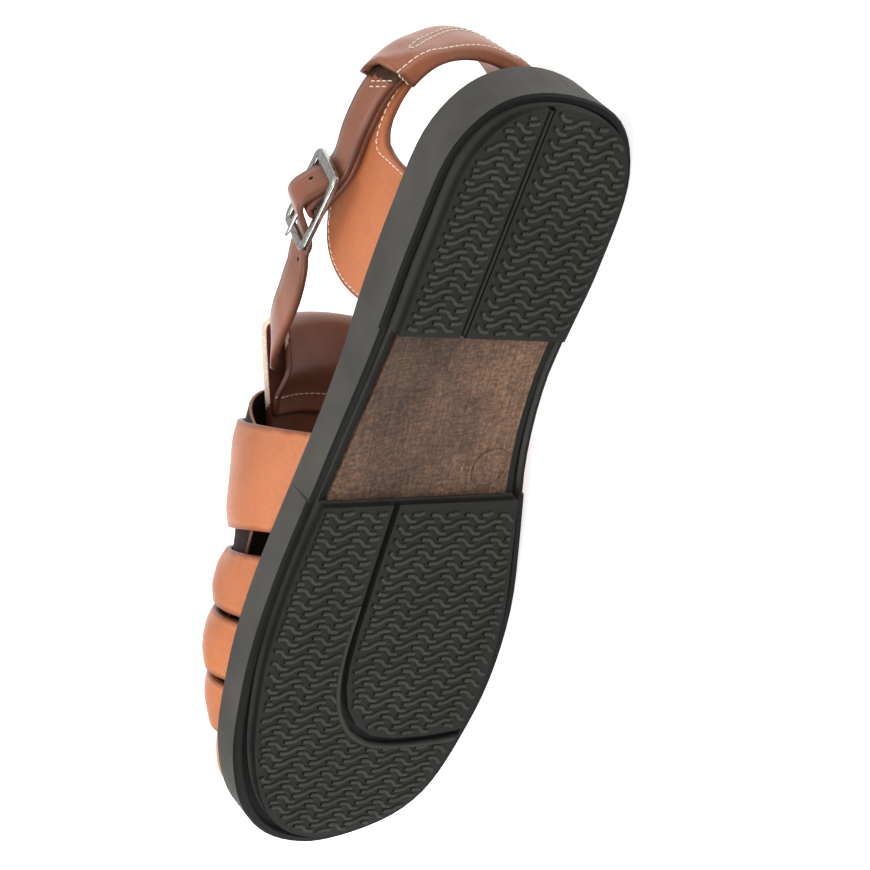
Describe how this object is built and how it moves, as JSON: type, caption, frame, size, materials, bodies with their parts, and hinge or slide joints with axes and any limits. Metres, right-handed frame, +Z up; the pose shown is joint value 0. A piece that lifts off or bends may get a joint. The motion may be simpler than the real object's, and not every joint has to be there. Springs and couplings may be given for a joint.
{
  "type": "fisherman sandal",
  "caption": "Left fisherman sandal lying on its side: cut leather vamp bands, instep strap, buckled ankle strap through a heel band, and a moulded rubber sole.",
  "frame": {"origin": "centre of the bounding box's footprint, on the floor the shoe lies on", "axes": "+X towards the heel, -Y out of the sole's tread, +Z up towards the lateral side, with the shoe resting on its medial side"},
  "size_m": [0.2906, 0.0884, 0.1052],
  "materials": {
    "rubber": "matt moulded",
    "waist": "mottled brown",
    "leather": "smooth, lightly waxed",
    "lining": "plain",
    "nickel": "satin"
  },
  "bodies": {
    "root": {"outsole": "rubber", "waist_board": "waist", "insole": "lining", "upper": "leather", "instep_strap": "leather", "heel_band": "leather", "ankle_strap": "leather", "buckle_strap": "leather", "buckle_frame": "nickel", "buckle_prong": "nickel"}
  },
  "joints": []
}
